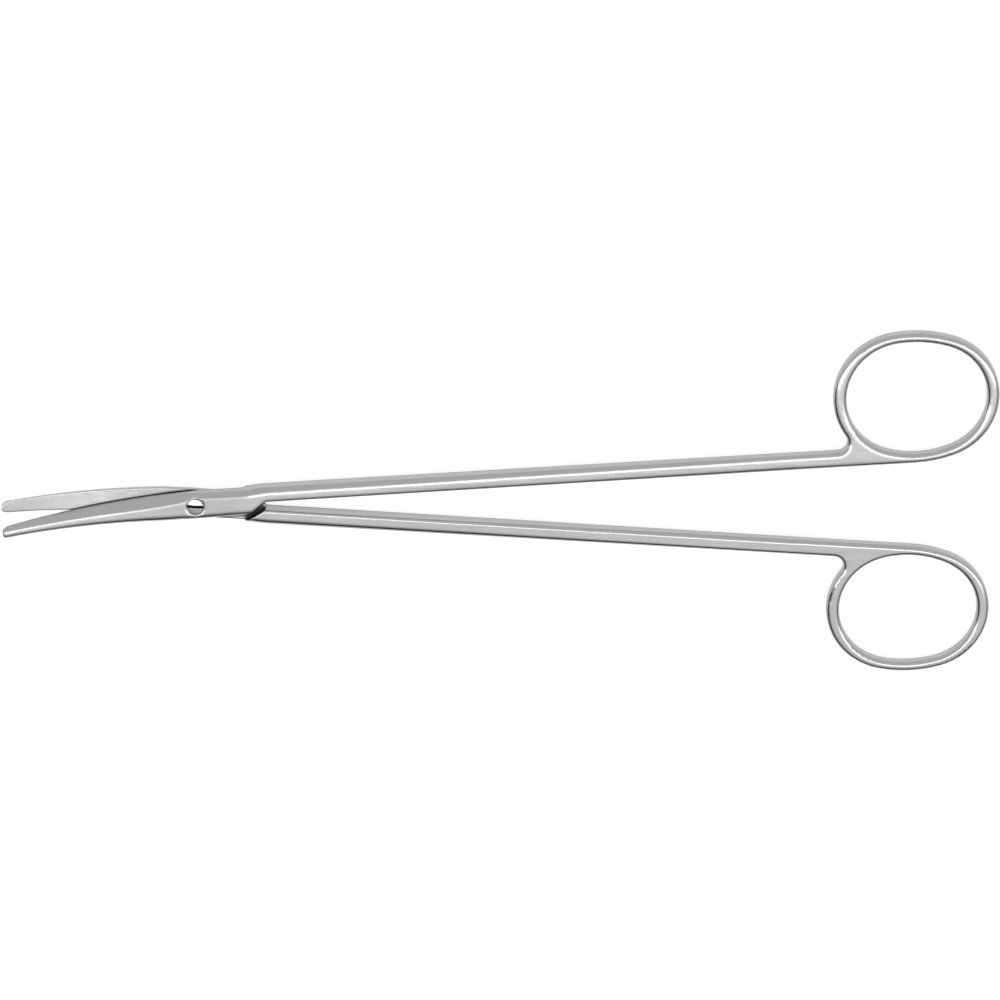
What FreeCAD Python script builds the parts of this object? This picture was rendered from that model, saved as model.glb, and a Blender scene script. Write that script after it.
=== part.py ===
import FreeCAD, Part
import Sketcher
import math
import os

from FreeCAD import Placement, Rotation, Vector

# Curved dissecting scissors with a lap joint and a slotted pivot screw.
# +X runs from the pivot towards the finger rings, +Y towards the front half's ring,
# and +Z up to the screw's head.
# Z = 0 is the flat back of the joint, and the Z axis is the pivot axis.

# Driving dimensions, in millimetres and degrees
DIMENSIONS = [
    ("rest_opening", 6.5, "angle between the two halves as they lie"),
    ("joint_thickness", 4.4, "both laps together"),
    ("lap_gap", 0.06, "running gap between the two laps and between the blades"),
    ("lap_land", 3.8, "width of the flat that the screw's head sits in"),
    ("lap_edge_reach", 3.3, "pivot axis to the lap's edge on the cutting side"),
    ("lap_back_reach", 3.4, "pivot axis to the lap's edge on the back side"),
    ("lap_back_slope", 0.03, "narrowing of the lap's back side per millimetre towards the shank"),
    ("lap_parallel", 9.5, "pivot axis to where the lap starts to take the shank's section"),
    ("lap_face_setback", 0.01, "joint's faces below the screw's flush tail"),
    ("shoulder_reach", 16.2, "pivot axis to where the shoulder meets the middle line"),
    ("shoulder_angle", 36.0, "shoulder to the middle line"),
    ("shoulder_gap", 0.15, "gap at the shoulder with the scissors closed"),
    ("shank_start", 16.0, "pivot axis to where the shank has its full section"),
    ("shank_inner_start", 0.1, "middle line to the shank's inner wall at its start"),
    ("shank_outer_start", 3.85, "middle line to the shank's outer wall at its start"),
    ("shank_end", 138.0, "pivot axis to where the shank turns into the ring's web"),
    ("shank_inner_end", 0.8, "middle line to the shank's inner wall at its end"),
    ("shank_outer_end", 4.6, "middle line to the shank's outer wall at its end"),
    ("shank_thickness", 4.1, "shank at the joint"),
    ("shank_outer_round", 1.8, "rounding of the shank's outer corners at the joint"),
    ("shank_inner_round", 0.45, "rounding of the shank's inner corners at the joint"),
    ("ring_thickness", 3.0, "thickness of the ring and its web"),
    ("ring_round", 1.05, "rounding of the ring's and the web's corners"),
    ("ring_far_y", 16.8, "middle line to the centres of the ring's far curves"),
    ("ring_near_y", 17.0, "middle line to the centres of the ring's near curves"),
    ("hole_far_reach", 30.5, "shank's end to the centre of the hole's far curve"),
    ("hole_far_radius", 12.8, "the hole's far curve"),
    ("hole_near_reach", 24.75, "shank's end to the centre of the hole's near curve"),
    ("hole_near_radius", 13.3, "the hole's near curve"),
    ("hole_outer_radius", 26.6, "the hole's outer side"),
    ("hole_inner_radius", 21.6, "the hole's inner side"),
    ("bow_far_reach", 31.0, "shank's end to the centre of the bow's far curve"),
    ("bow_far_radius", 15.1, "the bow's far curve"),
    ("bow_near_reach", 24.1, "shank's end to the centre of the bow's near curve"),
    ("bow_near_radius", 15.65, "the bow's near curve"),
    ("bow_outer_radius", 29.7, "the bow's outer side"),
    ("web_radius", 30.0, "curve from the web's straight inner wall into the bow"),
    ("ring_corner", 2.4, "radius of the inside corner between shank and ring"),
    ("blade_length", 43.5, "pivot axis to the tip, along the shank's direction"),
    ("blade_bend_start", 2.5, "pivot axis to where the blade starts to curve up"),
    ("blade_bend_radius", 90.0, "radius of the inner face of the curved blade"),
    ("blade_edge_slope", 0.06, "fall of the cutting edge per millimetre towards the tip"),
    ("blade_back_start", 8.0, "pivot axis to where the back starts to taper"),
    ("blade_back_slope", 0.0425, "fall of the blade's back per millimetre towards the tip"),
    ("blade_tip_thickness", 0.8, "one blade at its tip"),
    ("blade_tip_radius", 1.25, "rounding of the tip, seen square to the blade"),
    ("blade_crest_tip", -0.4, "middle line to the bevel's upper border, at the tip"),
    ("blade_crest_run", 8.5, "length over which that border swings in from the lap's land"),
    ("blade_edge_land", 0.18, "height of the land behind the cutting edge"),
    ("lap_edge_land", 0.38, "the same at the joint"),
    ("edge_land_run", 15.0, "length over which the land thins from the joint's height"),
    ("blade_relief", 0.2, "hollow of the inner face at the blade's back"),
    ("blade_relief_run", 20.0, "length over which the hollow deepens"),
    ("screw_head_diameter", 3.7, "head"),
    ("screw_head_depth", 0.9, "head below the joint's face"),
    ("screw_rim_depth", 0.05, "head's rim below the joint's face"),
    ("screw_head_rise", 0.12, "crown of the head above the joint's face"),
    ("screw_shaft_diameter", 2.4, "shaft in both halves"),
    ("screw_slot_width", 0.65, "driver slot"),
    ("screw_slot_depth", 0.5, "driver slot, below the joint's face"),
    ("screw_running_clearance", 0.04, "radial, in the front half, which turns on the screw"),
    ("screw_thread_clearance", 0.015, "radial, in the rear half, which holds the screw"),
    ("screw_seat_clearance", 0.03, "under the head"),
]

doc = FreeCAD.newDocument("scissors")
sheet = doc.addObject("Spreadsheet::Sheet", "dimensions")
for row, (alias, number, note) in enumerate(DIMENSIONS, start=1):
    sheet.set(f"A{row}", alias)
    sheet.set(f"B{row}", str(number))
    sheet.set(f"C{row}", note)
    sheet.setAlias(f"B{row}", alias)
doc.recompute()
dim = {alias: float(sheet.get(alias)) for alias, number, note in DIMENSIONS}

# Shares and counts that shape the curves but measure nothing
BLADE_THINNING = 1.5
BEVEL_BULGE = 0.04
BACK_ROUND_SHARE = 0.63
QUARTER_ROUND_BULGE = (math.sqrt(2) - 1) / 2

# Distances between the cross-sections that the surfaces run through
LAP_STATIONS = 3.0
ROOT_STATIONS = 2.2
BLADE_STATIONS = 3.5

# The lap is made this much past its inner face, and then cut flat
LAP_ALLOWANCE = 0.3

# Sizes of the cutting boxes, which only have to be larger than what they cut
ROOM = 40.0
OVERRUN = 1.0

# An edge's middle that is nearer than this to a plane lies in it
FLAT_TOLERANCE = 0.1

# Names of a sketch's fixed points
START, END, CENTRE = range(1, 4)
ORIGIN, VERTICAL_AXIS = range(-1, -3, -1)

HALF_THICKNESS = dim["joint_thickness"] / 2


# Document objects

def feature(name, shape):
    """A document object that holds one computed shape."""
    thing = doc.addObject("Part::Feature", name)
    thing.Shape = shape
    return thing


def box(name, size, place):
    """A box whose three sizes and three offsets are expressions."""
    solid = doc.addObject("Part::Box", name)
    for side, length in zip(("Length", "Width", "Height"), size):
        solid.setExpression(side, length)
    for axis, offset in zip("xyz", place):
        solid.setExpression(f"Placement.Base.{axis}", offset)
    return solid


def turn_about_z(thing, angle):
    """Turn an object about its own upright axis by an expression in degrees."""
    thing.Placement.Rotation = Rotation(Vector(0, 0, 1), 1)
    thing.setExpression("Placement.Rotation.Angle", angle)


def extrude(name, profile, direction, length):
    """An extrusion of a flat profile, half to each side of it."""
    solid = doc.addObject("Part::Extrusion", name)
    solid.Base = profile
    solid.DirMode = "Custom"
    solid.Dir = direction
    solid.Solid = True
    solid.Symmetric = True
    solid.setExpression("LengthFwd", length)
    return solid


def bore(name, radius):
    """A long cylinder on the pivot axis with its radius an expression."""
    room = doc.addObject("Part::Cylinder", name)
    room.setExpression("Radius", radius)
    room.Height = ROOM
    room.Placement.Base.z = -ROOM / 2
    return room


def cut(name, base, tool):
    result = doc.addObject("Part::Cut", name)
    result.Base = base
    result.Tool = tool
    return result


def fuse(name, *shapes):
    result = doc.addObject("Part::MultiFuse", name)
    result.Shapes = list(shapes)
    result.Refine = True
    return result


def turned_over(name, base):
    """The same shape turned half a turn about X, for the other half."""
    turned = doc.addObject("Part::Compound", name)
    turned.Links = [base]
    turned.Placement = Placement(Vector(), Rotation(Vector(1, 0, 0), 180))
    return turned


def closed_lines(sketch, corners):
    """A closed loop of lines through the corners, joined end to end."""
    count = len(corners)
    for index, corner in enumerate(corners):
        following = (index + 1) % count
        sketch.addGeometry(Part.LineSegment(corner, corners[following]), False)
    for index in range(count):
        sketch.addConstraint(Sketcher.Constraint("Coincident", index, END, (index + 1) % count, START))


def hold(sketch, name, axis, line, distance, formula):
    """Hold a line's start at a distance from the sketch's origin that follows a formula."""
    ends = (ORIGIN, START, line, START)
    if distance < 0:
        ends = (line, START, ORIGIN, START)
        formula = f"-({formula})"
    number = sketch.addConstraint(Sketcher.Constraint(f"Distance{axis}", *ends, abs(distance)))
    sketch.renameConstraint(number, name)
    sketch.setExpression(f"Constraints.{name}", formula)


# Curves that touch each other, in the plane of the scissors

def arc(centre, start, end):
    """The short arc from start to end about a centre."""
    radius = (start - centre).Length
    outward = (start - centre + end - centre).normalize()
    return Part.Arc(start, centre + outward * radius, end).toShape()


def around(centre, radius, other_centre):
    """The point of a circle that is farthest from another centre."""
    return centre + (centre - other_centre).normalize() * radius


def embracing(first, first_radius, second, second_radius, radius):
    """Centre of a circle that holds two circles and touches both, to the left of the way between them."""
    way = second - first
    first_gap = radius - first_radius
    second_gap = radius - second_radius
    along = (first_gap ** 2 - second_gap ** 2 + way.Length ** 2) / (2 * way.Length)
    aside = math.sqrt(first_gap ** 2 - along ** 2)
    direction = Vector(way).normalize()
    return first + direction * along + Vector(-direction.y, direction.x, 0) * aside


# The handle in a half's own frame: the middle line is X, the closed pair's mid-plane is Z = 0,
# and the ring is on the +Y side

def blend(x, start, end):
    """0 at start, 1 at end, level at both."""
    share = min(1.0, max(0.0, (x - start) / (end - start)))
    return share * share * (3 - 2 * share)


def mix(low, high, share):
    return low + (high - low) * share


def shank_walls(x):
    """The inner and the outer wall of the shank at x, as two points."""
    share = (x - dim["shank_start"]) / (dim["shank_end"] - dim["shank_start"])
    inner = mix(dim["shank_inner_start"], dim["shank_inner_end"], share)
    outer = mix(dim["shank_outer_start"], dim["shank_outer_end"], share)
    return Vector(x, inner, 0), Vector(x, outer, 0)


def hole_outline():
    """The finger hole: two ends and two flatter sides, all arcs that touch."""
    far = Vector(dim["shank_end"] + dim["hole_far_reach"], dim["ring_far_y"], 0)
    near = Vector(dim["shank_end"] + dim["hole_near_reach"], dim["ring_near_y"], 0)
    far_radius = dim["hole_far_radius"]
    near_radius = dim["hole_near_radius"]
    outer = embracing(far, far_radius, near, near_radius, dim["hole_outer_radius"])
    inner = embracing(near, near_radius, far, far_radius, dim["hole_inner_radius"])
    corners = [around(far, far_radius, inner), around(far, far_radius, outer),
               around(near, near_radius, outer), around(near, near_radius, inner)]
    centres = [far, outer, near, inner]
    ends = corners[1:] + corners[:1]
    return Part.Wire([arc(*points) for points in zip(centres, corners, ends)])


def plate_outline():
    """The ring's outer edge and the web that joins it to the shank."""
    far = Vector(dim["shank_end"] + dim["bow_far_reach"], dim["ring_far_y"], 0)
    near = Vector(dim["shank_end"] + dim["bow_near_reach"], dim["ring_near_y"], 0)
    far_radius = dim["bow_far_radius"]
    near_radius = dim["bow_near_radius"]
    outer = embracing(far, far_radius, near, near_radius, dim["bow_outer_radius"])
    inner_start, outer_start = shank_walls(dim["shank_start"])
    inner_end, outer_end = shank_walls(dim["shank_end"])

    # the straight inner wall runs on until it can curve into the bow
    along = (inner_end - inner_start).normalize()
    aside = Vector(-along.y, along.x, 0)
    to_far = far - inner_end
    drop = to_far.dot(aside) - far_radius
    reach = math.sqrt(drop * (2 * dim["web_radius"] - 2 * far_radius - drop))
    web_end = inner_end + along * (to_far.dot(along) - reach)
    web = web_end + aside * dim["web_radius"]

    # the bow comes down onto the outer wall and meets it in a hollow corner
    along = (outer_end - outer_start).normalize()
    aside = Vector(-along.y, along.x, 0)
    corner_radius = dim["ring_corner"]
    to_near = near - outer_end
    reach = math.sqrt((near_radius + corner_radius) ** 2 - (to_near.dot(aside) - corner_radius) ** 2)
    foot = outer_end + along * (to_near.dot(along) - reach)
    corner = foot + aside * corner_radius
    corner_top = near + (corner - near).normalize() * near_radius

    far_inner = around(far, far_radius, web)
    far_outer = around(far, far_radius, outer)
    near_outer = around(near, near_radius, outer)
    return Part.Wire([
        Part.makeLine(inner_end, web_end),
        arc(web, web_end, far_inner),
        arc(far, far_inner, far_outer),
        arc(outer, far_outer, near_outer),
        arc(near, near_outer, corner_top),
        arc(corner, corner_top, foot),
        Part.makeLine(foot, outer_end),
        Part.makeLine(outer_end, inner_end),
    ])


def rounded_rims(shape):
    """The plate with its upper and lower rims rounded, all but those where the shank goes on."""
    rims = []
    for edge in shape.Edges:
        middle = edge.valueAt((edge.FirstParameter + edge.LastParameter) / 2)
        if abs(middle.z) > FLAT_TOLERANCE and middle.x > dim["shank_end"] + FLAT_TOLERANCE:
            rims.append(edge)
    return shape.makeFillet(dim["ring_round"], rims)


def root_size(x):
    """Outer wall and half thickness of one half at x, where the lap takes the shank's section."""
    share = blend(x, dim["lap_parallel"], dim["shank_start"])
    lap_height = HALF_THICKNESS - dim["lap_face_setback"]
    return (mix(dim["lap_edge_reach"], dim["shank_outer_start"], share),
            mix(lap_height, dim["shank_thickness"] / 2, share))


def shank_section(x):
    """The wire of the shank's section at x, a rectangle with four rounded corners."""
    inner = shank_walls(x)[0].y
    outer, height = root_size(x)
    edges = []
    last_point = None
    walls = ((outer, -1, dim["shank_outer_round"]), (inner, 1, dim["shank_inner_round"]))
    for wall, inward, rounding in walls:
        # up the outer wall, and down the inner one
        for up in (inward, -inward):
            on_wall = Vector(x, wall, up * (height - rounding))
            on_face = Vector(x, wall + inward * rounding, up * height)
            centre = Vector(x, on_face.y, on_wall.z)
            start, end = (on_face, on_wall) if up == inward else (on_wall, on_face)
            if last_point:
                edges.append(Part.makeLine(last_point, start))
            edges.append(arc(centre, start, end))
            last_point = end
    first_point = edges[0].Vertexes[0].Point
    edges.append(Part.makeLine(last_point, first_point))
    return Part.Wire(edges)


def stations(start, end, spacing):
    """Evenly spaced places from start to end, at most a spacing apart."""
    steps = math.ceil(abs(end - start) / spacing)
    return [mix(start, end, step / steps) for step in range(steps + 1)]


ROOT = stations(dim["lap_parallel"], dim["shank_start"], ROOT_STATIONS)
SLAB = "2 * dimensions.joint_thickness"
plate_face = feature("plate_outline", Part.Face(plate_outline()))
hole_face = feature("hole_outline", Part.Face(hole_outline()))
plate = extrude("plate_slab", plate_face, Vector(0, 0, 1), "dimensions.ring_thickness")
finger_hole = extrude("finger_hole", hole_face, Vector(0, 0, 1), SLAB)
pierced = cut("plate_pierced", plate, finger_hole)
doc.recompute()

# one radius all along leaves plain curved surfaces, and the shank grows out of the flat end
plate_rounded = feature("plate_rounded", rounded_rims(pierced.Shape))
shank_end_face = min(plate_rounded.Shape.Faces, key=lambda face: face.CenterOfMass.x)
sections = [shank_section(x) for x in ROOT] + [shank_end_face.OuterWire]
shank = feature("shank", Part.makeLoft(sections, True, True))

# the other half's lap turns above the shoulder's block, and ends at the shoulder
lap_room = box("lap_room",
               ("dimensions.shank_start", "4 * dimensions.joint_thickness", "dimensions.joint_thickness"),
               ("0", "-2 * dimensions.joint_thickness", "dimensions.lap_gap / 2"))
shoulder_room = box("shoulder_room",
                    (str(ROOM), str(ROOM), SLAB),
                    ("dimensions.shoulder_reach", "0", "-dimensions.joint_thickness"))
turn_about_z(shoulder_room, "180 - dimensions.shoulder_angle")
handle_blank = fuse("handle_blank", shank, plate_rounded)
handle = cut("handle", cut("handle_block", handle_blank, lap_room), shoulder_room)

# the lap's own edge runs along the other half's shoulder when the scissors are closed
edge_room = box("edge_room",
                (str(ROOM), str(ROOM), f"2 * {SLAB}"),
                ("dimensions.shoulder_reach - dimensions.shoulder_gap * sin(dimensions.shoulder_angle)",
                 "dimensions.shoulder_gap * cos(dimensions.shoulder_angle)",
                 f"-{SLAB}"))
turn_about_z(edge_room, "180 + dimensions.shoulder_angle")

# the lap's inner face is dead flat
under_lap = box("under_lap",
                (str(ROOM), str(ROOM), str(ROOM)),
                (f"dimensions.shank_start + {OVERRUN} - {ROOM}",
                 str(-ROOM / 2),
                 f"dimensions.lap_gap / 2 - {ROOM}"))


# The lap and the blade in the same frame: the front half cuts on its +Y side, the rear half on its -Y side

def profile_at(x):
    """Sizes of the cross-section at x, from the shank's start to the blade's tip."""
    toward_tip = max(0.0, -x)
    toward_shank = max(0.0, x)
    as_shank = blend(x, dim["lap_parallel"], dim["shank_start"])
    along_blade = toward_tip / dim["blade_length"]
    wall, full_height = root_size(x)
    height = mix(full_height, dim["blade_tip_thickness"], along_blade ** BLADE_THINNING)
    edge = wall - dim["blade_edge_slope"] * toward_tip
    back = dim["lap_back_reach"] - dim["lap_back_slope"] * toward_shank
    back -= dim["blade_back_slope"] * max(0.0, toward_tip - dim["blade_back_start"])
    swing = math.exp(-toward_tip / dim["blade_crest_run"])
    crest = mix(dim["blade_crest_tip"], dim["lap_land"] / 2, swing)
    land = mix(dim["lap_edge_land"], dim["blade_edge_land"], blend(toward_tip, 0, dim["edge_land_run"]))
    hollow = min(1.0, max(0.0, toward_tip - dim["blade_bend_start"]) / dim["blade_relief_run"])
    rounding = dim["shank_outer_round"]
    return {
        "x": x,
        "edge": edge,
        "back": back,
        "height": height,
        "crest": mix(crest, dim["shank_outer_start"] - rounding, as_shank),
        "back_round": BACK_ROUND_SHARE * height,
        "land": mix(land, height - rounding, as_shank),
        "bulge": mix(BEVEL_BULGE, QUARTER_ROUND_BULGE, as_shank),
        "hollow": dim["blade_relief"] * hollow,
    }


def section(size, hand, allowance):
    """The wire of one cross-section, square to the inner face, which it passes by an allowance."""
    along_bend = max(0.0, -size["x"] - dim["blade_bend_start"])
    lean = math.asin(along_bend / dim["blade_bend_radius"])
    origin = Vector(size["x"], 0, dim["blade_bend_radius"] * (1 - math.cos(lean)))
    outward = Vector(math.sin(lean), 0, math.cos(lean)) * hand
    across = Vector(0, hand, 0)
    floor = dim["lap_gap"] / 2 - allowance

    def point(width, height):
        return origin + across * width + outward * height

    def bulged(start, end, share):
        """An arc that stands out from its chord, away from the section's middle, by a share of the chord."""
        chord = end - start
        normal = chord.cross(across.cross(outward)).normalize()
        middle = (start + end) / 2
        if normal.dot(middle - origin) < 0:
            normal = normal * -1
        return Part.Arc(start, middle + normal * (chord.Length * share), end).toShape()

    edge, back, height, back_round = size["edge"], size["back"], size["height"], size["back_round"]
    cutting_edge = point(edge, floor)
    land_top = point(edge, size["land"])
    crest = point(size["crest"], height)
    back_top = point(back_round - back, height)
    back_side = point(-back, height - back_round)
    back_foot = point(-back, floor + size["hollow"])
    return Part.Wire([
        Part.makeLine(cutting_edge, land_top),
        bulged(land_top, crest, size["bulge"]),
        Part.makeLine(crest, back_top),
        bulged(back_top, back_side, QUARTER_ROUND_BULGE),
        Part.makeLine(back_side, back_foot),
        Part.makeLine(back_foot, cutting_edge),
    ])


def skin(places, hand, allowance, ruled):
    """A solid through the cross-sections at the places; `hand` is 1 in front and -1 in the rear."""
    return Part.makeLoft([section(profile_at(x), hand, allowance) for x in places], True, ruled)


def tip_room(hand):
    """What is cut away to round the blade's tip."""
    radius = dim["blade_tip_radius"]
    size = profile_at(radius - dim["blade_length"])
    centre = Vector(size["x"], hand * (size["edge"] - size["back"]) / 2, -ROOM / 2)
    block = Part.makeBox(ROOM, ROOM, ROOM, centre - Vector(ROOM, ROOM / 2, 0))
    return block.cut(Part.makeCylinder(radius, ROOM, centre))


def half(name, hand):
    """One half without its screw holes."""
    below, edge, grip = under_lap, edge_room, handle
    if hand < 0:
        below, edge, grip = [turned_over(f"{name}_{thing.Name}", thing) for thing in (below, edge, grip)]
    bend = -dim["blade_bend_start"]
    lap_places = stations(bend, dim["lap_parallel"], LAP_STATIONS)
    blade_places = stations(bend, -dim["blade_length"], BLADE_STATIONS)
    root = feature(f"{name}_root_skin", skin(ROOT, hand, LAP_ALLOWANCE, True))
    lap = feature(f"{name}_lap_skin", skin(lap_places, hand, LAP_ALLOWANCE, False))
    lap = fuse(f"{name}_lap_thick", root, lap)
    lap = cut(f"{name}_lap", cut(f"{name}_lap_flat", lap, below), edge)
    blade = feature(f"{name}_blade_skin", skin(blade_places, hand, 0, False))
    blade = cut(f"{name}_blade", blade, feature(f"{name}_tip_room", tip_room(hand)))
    return fuse(f"{name}_forging", grip, lap, blade)


head_room = bore("head_room", "dimensions.screw_head_diameter / 2 + dimensions.screw_running_clearance")
head_room.setExpression("Placement.Base.z", "dimensions.joint_thickness / 2 - dimensions.screw_head_depth")
shaft_room = bore("shaft_room", "dimensions.screw_shaft_diameter / 2 + dimensions.screw_running_clearance")
thread_room = bore("thread_room", "dimensions.screw_shaft_diameter / 2 + dimensions.screw_thread_clearance")
front_half = cut("front_half", cut("front_counterbored", half("front", 1), head_room), shaft_room)
rear_half = cut("rear_half", half("rear", -1), thread_room)


# The pivot screw, turned about Z and slotted

def plane_of(body, role):
    return next(plane for plane in body.Origin.OriginFeatures if plane.Role == role)


def screw_profile(body):
    """Half of the screw's section, with a slightly domed head."""
    sketch = body.newObject("Sketcher::SketchObject", "screw_profile")
    sketch.AttachmentSupport = (plane_of(body, "XZ_Plane"), "")
    sketch.MapMode = "FlatFace"
    shaft = dim["screw_shaft_diameter"] / 2
    head = dim["screw_head_diameter"] / 2
    under_head = HALF_THICKNESS - dim["screw_head_depth"] + dim["screw_seat_clearance"]
    rim = HALF_THICKNESS - dim["screw_rim_depth"]
    crown = HALF_THICKNESS + dim["screw_head_rise"]
    rise = crown - rim
    dome = (head ** 2 + rise ** 2) / (2 * rise)
    corners = [
        Vector(0, -HALF_THICKNESS, 0),
        Vector(shaft, -HALF_THICKNESS, 0),
        Vector(shaft, under_head, 0),
        Vector(head, under_head, 0),
        Vector(head, rim, 0),
    ]
    for first, second in zip(corners, corners[1:]):
        sketch.addGeometry(Part.LineSegment(first, second), False)
    circle = Part.Circle(Vector(0, crown - dome, 0), Vector(0, 0, 1), dome)
    arc = sketch.addGeometry(Part.ArcOfCircle(circle, math.asin((dome - rise) / dome), math.pi / 2), False)
    axis = sketch.addGeometry(Part.LineSegment(Vector(0, crown, 0), corners[0]), False)
    for line in range(axis):
        sketch.addConstraint(Sketcher.Constraint("Coincident", line, END, line + 1, START))
    sketch.addConstraint(Sketcher.Constraint("Coincident", axis, END, 0, START))
    sketch.addConstraint(Sketcher.Constraint("PointOnObject", 0, START, VERTICAL_AXIS))
    sketch.addConstraint(Sketcher.Constraint("PointOnObject", axis, START, VERTICAL_AXIS))
    sketch.addConstraint(Sketcher.Constraint("PointOnObject", arc, CENTRE, VERTICAL_AXIS))
    for line in (0, 2):
        sketch.addConstraint(Sketcher.Constraint("Horizontal", line))
    for line in (1, 3):
        sketch.addConstraint(Sketcher.Constraint("Vertical", line))
    face = "dimensions.joint_thickness / 2"
    hold(sketch, "tail", "Y", 0, -HALF_THICKNESS, f"-{face}")
    hold(sketch, "shaft", "X", 1, shaft, "dimensions.screw_shaft_diameter / 2")
    hold(sketch, "under_head", "Y", 2, under_head,
         f"{face} - dimensions.screw_head_depth + dimensions.screw_seat_clearance")
    hold(sketch, "head", "X", 3, head, "dimensions.screw_head_diameter / 2")
    hold(sketch, "rim", "Y", arc, rim, f"{face} - dimensions.screw_rim_depth")
    hold(sketch, "crown", "Y", axis, crown, f"{face} + dimensions.screw_head_rise")
    return sketch


def slot_profile(body):
    """The driver slot, seen from above, at the height of its floor."""
    sketch = body.newObject("Sketcher::SketchObject", "slot_profile")
    sketch.AttachmentSupport = (plane_of(body, "XY_Plane"), "")
    sketch.MapMode = "FlatFace"
    sketch.setExpression("AttachmentOffset.Base.z",
                         "dimensions.joint_thickness / 2 - dimensions.screw_slot_depth")
    reach = dim["screw_head_diameter"]
    wide = dim["screw_slot_width"] / 2
    signs = ((1, -1), (1, 1), (-1, 1), (-1, -1))
    closed_lines(sketch, [Vector(x * reach, y * wide, 0) for x, y in signs])
    for line, (x, y) in enumerate(signs):
        hold(sketch, f"along_{line}", "X", line, x * reach, f"{x} * dimensions.screw_head_diameter")
        hold(sketch, f"across_{line}", "Y", line, y * wide, f"{y} * dimensions.screw_slot_width / 2")
    return sketch


pivot_screw = doc.addObject("PartDesign::Body", "pivot_screw")
turned = pivot_screw.newObject("PartDesign::Revolution", "screw_blank")
turned.Profile = screw_profile(pivot_screw)
turned.ReferenceAxis = (turned.Profile[0], ["V_Axis"])
turned.Angle = 360
doc.recompute()
slot = pivot_screw.newObject("PartDesign::Pocket", "driver_slot")
slot.Profile = slot_profile(pivot_screw)
slot.Type = "ThroughAll"
slot.Reversed = True
doc.recompute()
if slot.Shape.Volume >= turned.Shape.Volume:
    raise RuntimeError("the driver slot cuts nothing")

# The three parts as they lie, the screw turned with the rear half that holds it
for part, angle in ((front_half, "dimensions.rest_opening / 2"),
                    (rear_half, "-dimensions.rest_opening / 2"),
                    (pivot_screw, "-dimensions.rest_opening / 2")):
    part.Label = part.Name
    part.setExpression("Placement.Base.z", "dimensions.joint_thickness / 2")
    turn_about_z(part, angle)
doc.recompute()

for thing in doc.Objects:
    bad = {"Invalid", "Error"} & set(thing.State)
    if bad:
        raise RuntimeError(f"{thing.Name}: {sorted(bad)}")
os.makedirs("parts", exist_ok=True)
for part in (front_half, rear_half, pivot_screw):
    shape = part.Shape
    if shape.isNull() or not shape.isValid():
        raise RuntimeError(f"{part.Name}: no valid shape")
    box_of = shape.BoundBox
    print(part.Label, f"{shape.Volume:.2f} mm3", f"Z {box_of.ZMin:.4f} to {box_of.ZMax:.3f}")
    print("  X", f"{box_of.XMin:.3f} to {box_of.XMax:.3f}", "Y", f"{box_of.YMin:.3f} to {box_of.YMax:.3f}")
    shape.exportStep(f"parts/{part.Label}.step")
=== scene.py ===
import math

import bpy
from mathutils import Matrix, Vector

# Curved dissecting scissors in satin stainless steel, lying on a white table under soft studio light.
# Everything is in metres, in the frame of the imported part: +X to the finger rings, +Z up.

MM = 0.001

# Camera, as the photograph was taken: from above, a little from the +Y side
CAMERA_TILT = math.radians(23.0)
CAMERA_DISTANCE = 932 * MM
PIXELS_PER_MM = 4.365
FRAME_PIXELS = 1000
SENSOR_MM = 36.0
CAMERA_SIGHT = 20.0
LOOK_AT = Vector((69.7, 0.8, 2.2)) * MM

# Steel: its colours and its roughness
HALVES_COLOUR = (0.70, 0.70, 0.70)
SCREW_COLOUR = (0.66, 0.66, 0.66)
SATIN = 0.2
POLISHED = 0.16

# Grinding streaks: how many in a metre along X, Y and Z, how high, and how much they change the roughness
HALVES_STREAKS = (60, 2600, 2600)
SCREW_STREAKS = (1200, 1200, 1200)
STREAK_HEIGHT = 0.0007 * MM
STREAK_DETAIL = 4.0
STREAK_NOISE = (0.2, 0.8)
STREAK_GLOSS = 0.05

# Faint blotches: how many in a metre, and how much they change the roughness
BLOTCHES = 90.0
BLOTCH_DETAIL = 2.0
BLOTCH_NOISE = (0.3, 0.7)
BLOTCH_GLOSS = 0.015

# How far from an edge the shading rounds it
FRONT_EDGE = 1.15 * MM
REAR_EDGE = 0.4 * MM
SCREW_EDGE = 0.12 * MM
EDGE_SAMPLES = 8

# Painted shade in crevices and between parts: how near their walls stand, how open a place is where the
# painted shade is darkest and where it clears, and how dark it gets
PAINTED_SHADE_REACH = 1.3 * MM
PAINTED_SHADE_CLOSED = 0.68
PAINTED_SHADE_OPEN = 0.97
PAINTED_SHADE_DARK = 0.06

# Floor: its matt colour, and the glow added to it for the camera and for reflections in the steel
FLOOR_SIZE = 6.0
FLOOR_CENTRE = (0.07, 0, 0)
FLOOR_COLOUR = (0.42, 0.42, 0.42)
FLOOR_WHITE = 0.86
FLOOR_GLOSS = 0.44

# Sky: its brightness on the +Y side, high on the -Y side and low on the -Y side
SKY_NEAR = 0.66
SKY_FAR = 0.86
SKY_DARK = 0.03

# Where the sky turns from low to high, and from the -Y side to the +Y side; towards +X it counts as higher
SKY_RISE = (0.45, 1.02)
SKY_MEET = (-0.35, 0.1)
SKY_LEAN = 0.35

# Strip lamp above the table, its length along the scissors
STRIP_PLACE = (0.1, -0.264, 1.3)
STRIP_SIZE = (3.0, 0.19)
STRIP_BRIGHTNESS = 2.8


def node(tree, kind, **values):
    """A shader node with its input values set by name."""
    made = tree.nodes.new(kind)
    for name, value in values.items():
        made.inputs[name.replace("_", " ")].default_value = value
    return made


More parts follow.
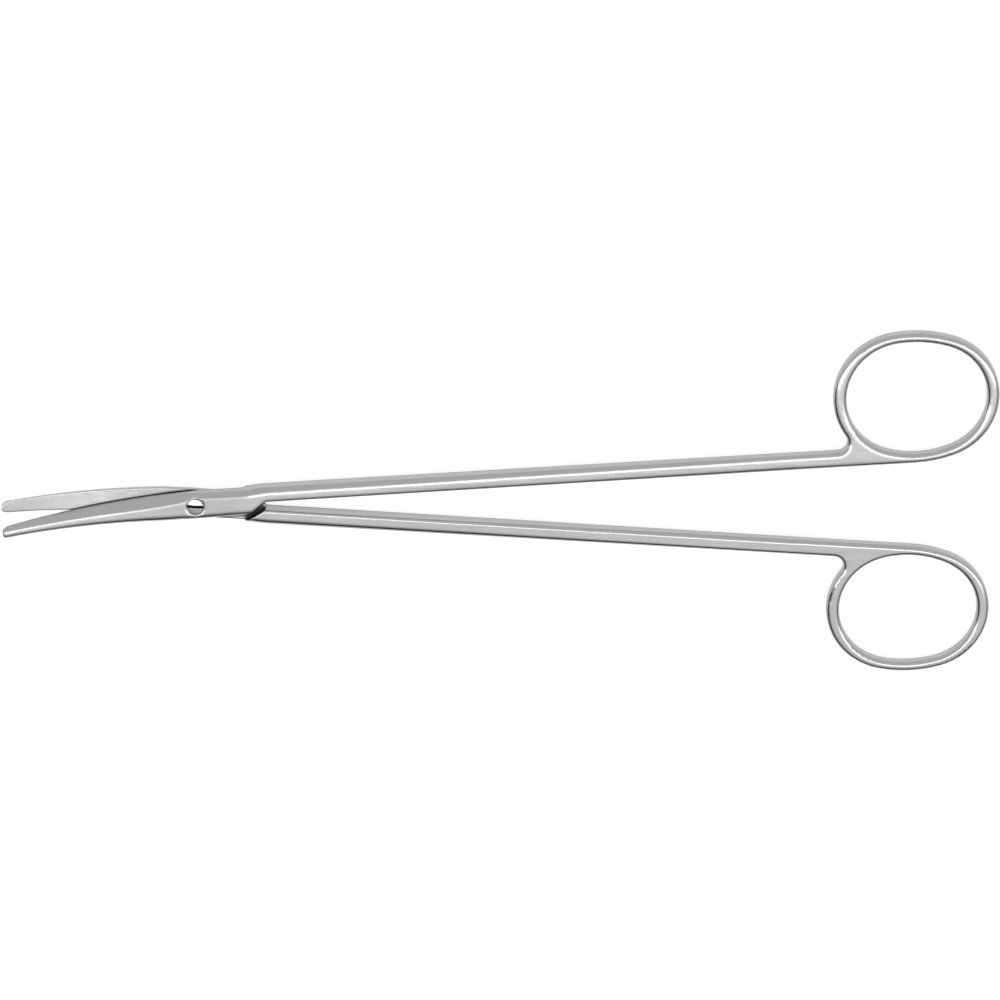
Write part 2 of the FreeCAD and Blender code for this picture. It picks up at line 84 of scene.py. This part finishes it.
def maths(tree, operation, *inputs):
    """A math node whose inputs are numbers or sockets."""
    made = tree.nodes.new("ShaderNodeMath")
    made.operation = operation
    for socket, value in zip(made.inputs, inputs):
        if isinstance(value, (int, float)):
            socket.default_value = value
        else:
            tree.links.new(value, socket)
    return made.outputs[0]


def smooth_range(tree, value, low, high, first=0.0, last=1.0):
    """Maps a value smoothly from one range to another."""
    made = tree.nodes.new("ShaderNodeMapRange")
    made.interpolation_type = "SMOOTHSTEP"
    tree.links.new(value, made.inputs["Value"])
    for name, number in (("From Min", low), ("From Max", high), ("To Min", first), ("To Max", last)):
        made.inputs[name].default_value = number
    return made.outputs[0]


def noise(tree, place, scale, detail):
    """Noise over a place, as a number from 0 to 1."""
    made = node(tree, "ShaderNodeTexNoise", Scale=scale, Detail=detail)
    tree.links.new(place, made.inputs["Vector"])
    return made.outputs["Fac"]


def empty_material(name):
    """A new material with its node tree, which holds only the output."""
    material = bpy.data.materials.new(name)
    material.use_nodes = True
    tree = material.node_tree
    tree.nodes.clear()
    return material, tree, tree.nodes.new("ShaderNodeOutputMaterial")


def painted_crevice_shade(tree, colour):
    """A colour darkened by painted shade in crevices and between parts, where ambient occlusion finds walls
    near.
    """
    crevice = node(tree, "ShaderNodeAmbientOcclusion", Distance=PAINTED_SHADE_REACH)
    shade = smooth_range(tree, crevice.outputs["AO"], PAINTED_SHADE_CLOSED, PAINTED_SHADE_OPEN, PAINTED_SHADE_DARK, 1.0)
    shaded = tree.nodes.new("ShaderNodeVectorMath")
    shaded.operation = "SCALE"
    shaded.inputs["Vector"].default_value = colour
    tree.links.new(shade, shaded.inputs["Scale"])
    return shaded.outputs[0]


def soft_edged_bump(tree, height, edge):
    """A normal with softened edges and shallow marks of the given height."""
    soft_edge = node(tree, "ShaderNodeBevel", Radius=edge)
    soft_edge.samples = EDGE_SAMPLES
    bump = node(tree, "ShaderNodeBump", Strength=1.0, Distance=STREAK_HEIGHT)
    tree.links.new(height, bump.inputs["Height"])
    tree.links.new(soft_edge.outputs[0], bump.inputs["Normal"])
    return bump.outputs[0]


def steel(name, colour, roughness, streak, edge):
    """Ground stainless steel: fine streaks, faint blotches in the gloss, soft edges and painted shade in
    crevices.
    """
    material, tree, out = empty_material(name)
    place = tree.nodes.new("ShaderNodeTexCoord").outputs["Object"]
    stretched = tree.nodes.new("ShaderNodeMapping")
    stretched.inputs["Scale"].default_value = streak
    tree.links.new(place, stretched.inputs["Vector"])
    streaks = noise(tree, stretched.outputs[0], 1.0, STREAK_DETAIL)
    blotches = noise(tree, place, BLOTCHES, BLOTCH_DETAIL)
    smoothest = roughness - STREAK_GLOSS
    roughest = roughness + STREAK_GLOSS
    gloss = maths(tree, "ADD",
                  smooth_range(tree, streaks, *STREAK_NOISE, smoothest, roughest),
                  smooth_range(tree, blotches, *BLOTCH_NOISE, -BLOTCH_GLOSS, BLOTCH_GLOSS))
    shader = tree.nodes.new("ShaderNodeBsdfPrincipled")
    shader.inputs["Metallic"].default_value = 1.0
    # The base colour carries painted shade in crevices and where the parts meet.
    tree.links.new(painted_crevice_shade(tree, colour), shader.inputs["Base Color"])
    tree.links.new(gloss, shader.inputs["Roughness"])
    tree.links.new(soft_edged_bump(tree, streaks, edge), shader.inputs["Normal"])
    tree.links.new(shader.outputs[0], out.inputs["Surface"])
    return material


def dress(piece, material):
    """Gives a node of the frame its one material."""
    piece.data.materials.clear()
    piece.data.materials.append(material)


def floor_material():
    """White to the camera and pale in the steel, with the object's soft shadow kept."""
    material, tree, out = empty_material("white_table")
    matt = tree.nodes.new("ShaderNodeBsdfDiffuse")
    matt.inputs["Color"].default_value = (*FLOOR_COLOUR, 1)
    glow = tree.nodes.new("ShaderNodeEmission")
    rays = tree.nodes.new("ShaderNodeLightPath").outputs
    seen = maths(tree, "MULTIPLY", rays["Is Camera Ray"], FLOOR_WHITE)
    mirrored = maths(tree, "MULTIPLY", rays["Is Glossy Ray"], FLOOR_GLOSS)
    tree.links.new(maths(tree, "ADD", seen, mirrored), glow.inputs["Strength"])
    both = tree.nodes.new("ShaderNodeAddShader")
    tree.links.new(matt.outputs[0], both.inputs[0])
    tree.links.new(glow.outputs[0], both.inputs[1])
    tree.links.new(both.outputs[0], out.inputs["Surface"])
    return material


def floor():
    """The table that the scissors lie on."""
    bpy.ops.mesh.primitive_plane_add(size=FLOOR_SIZE, location=FLOOR_CENTRE)
    table = bpy.context.object
    table.name = "table"
    table.data.materials.append(floor_material())


def sky():
    """Pale all round, falling to dark low on the -Y side, which draws the steel's shaded edges."""
    world = bpy.data.worlds.new("studio")
    bpy.context.scene.world = world
    world.use_nodes = True
    tree = world.node_tree
    tree.nodes.clear()
    out = tree.nodes.new("ShaderNodeOutputWorld")
    light = tree.nodes.new("ShaderNodeBackground")
    tree.links.new(light.outputs[0], out.inputs["Surface"])
    direction = tree.nodes.new("ShaderNodeSeparateXYZ")
    tree.links.new(tree.nodes.new("ShaderNodeTexCoord").outputs["Generated"], direction.inputs[0])
    to_rings = maths(tree, "MULTIPLY", maths(tree, "MAXIMUM", direction.outputs["X"], 0.0), SKY_LEAN)
    height = maths(tree, "ADD", direction.outputs["Z"], to_rings)
    far_side = smooth_range(tree, height, *SKY_RISE, SKY_DARK, SKY_FAR)
    near = smooth_range(tree, direction.outputs["Y"], *SKY_MEET)
    level = maths(tree, "ADD",
                  maths(tree, "MULTIPLY", far_side, maths(tree, "SUBTRACT", 1.0, near)),
                  maths(tree, "MULTIPLY", near, SKY_NEAR))
    seen = tree.nodes.new("ShaderNodeLightPath").outputs["Is Camera Ray"]
    tree.links.new(maths(tree, "MAXIMUM", level, seen), light.inputs["Strength"])


def softbox(name, place, size, brightness):
    """A large soft lamp that faces straight down; its face is as bright as a surface of that value."""
    lamp = bpy.data.lights.new(name, "AREA")
    lamp.shape = "RECTANGLE"
    lamp.size, lamp.size_y = size
    lamp.energy = brightness * math.pi * lamp.size * lamp.size_y
    holder = bpy.data.objects.new(name, lamp)
    holder.location = place
    bpy.context.collection.objects.link(holder)


def camera():
    """The photograph's view: square to the long axis and tilted back from straight above."""
    lens = bpy.data.cameras.new("camera")
    lens.sensor_width = SENSOR_MM
    lens.lens = SENSOR_MM * PIXELS_PER_MM * (CAMERA_DISTANCE / MM) / FRAME_PIXELS
    lens.clip_end = CAMERA_SIGHT
    holder = bpy.data.objects.new("camera", lens)
    back = Vector((0, math.sin(CAMERA_TILT), math.cos(CAMERA_TILT)))
    up = Vector((0, math.cos(CAMERA_TILT), -math.sin(CAMERA_TILT)))
    right = Vector((1, 0, 0))
    turn = Matrix((right, up, back)).transposed().to_4x4()
    holder.matrix_world = Matrix.Translation(LOOK_AT + back * CAMERA_DISTANCE) @ turn
    bpy.context.collection.objects.link(holder)
    bpy.context.scene.camera = holder


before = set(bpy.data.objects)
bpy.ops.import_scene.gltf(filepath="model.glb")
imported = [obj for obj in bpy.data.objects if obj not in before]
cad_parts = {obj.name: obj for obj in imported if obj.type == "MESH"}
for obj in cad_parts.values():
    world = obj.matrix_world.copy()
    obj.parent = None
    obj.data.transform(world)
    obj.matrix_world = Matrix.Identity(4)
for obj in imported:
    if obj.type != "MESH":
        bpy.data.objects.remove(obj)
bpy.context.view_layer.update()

front_steel = steel("front_steel", HALVES_COLOUR, SATIN, HALVES_STREAKS, FRONT_EDGE)
rear_steel = steel("rear_steel", HALVES_COLOUR, SATIN, HALVES_STREAKS, REAR_EDGE)
screw_steel = steel("screw_steel", SCREW_COLOUR, POLISHED, SCREW_STREAKS, SCREW_EDGE)
dress(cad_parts["front_half"], front_steel)
dress(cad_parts["rear_half"], rear_steel)
dress(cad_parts["pivot_screw"], screw_steel)

floor()
sky()
softbox("strip", STRIP_PLACE, STRIP_SIZE, STRIP_BRIGHTNESS)
camera()
bpy.context.scene.view_settings.view_transform = "Standard"
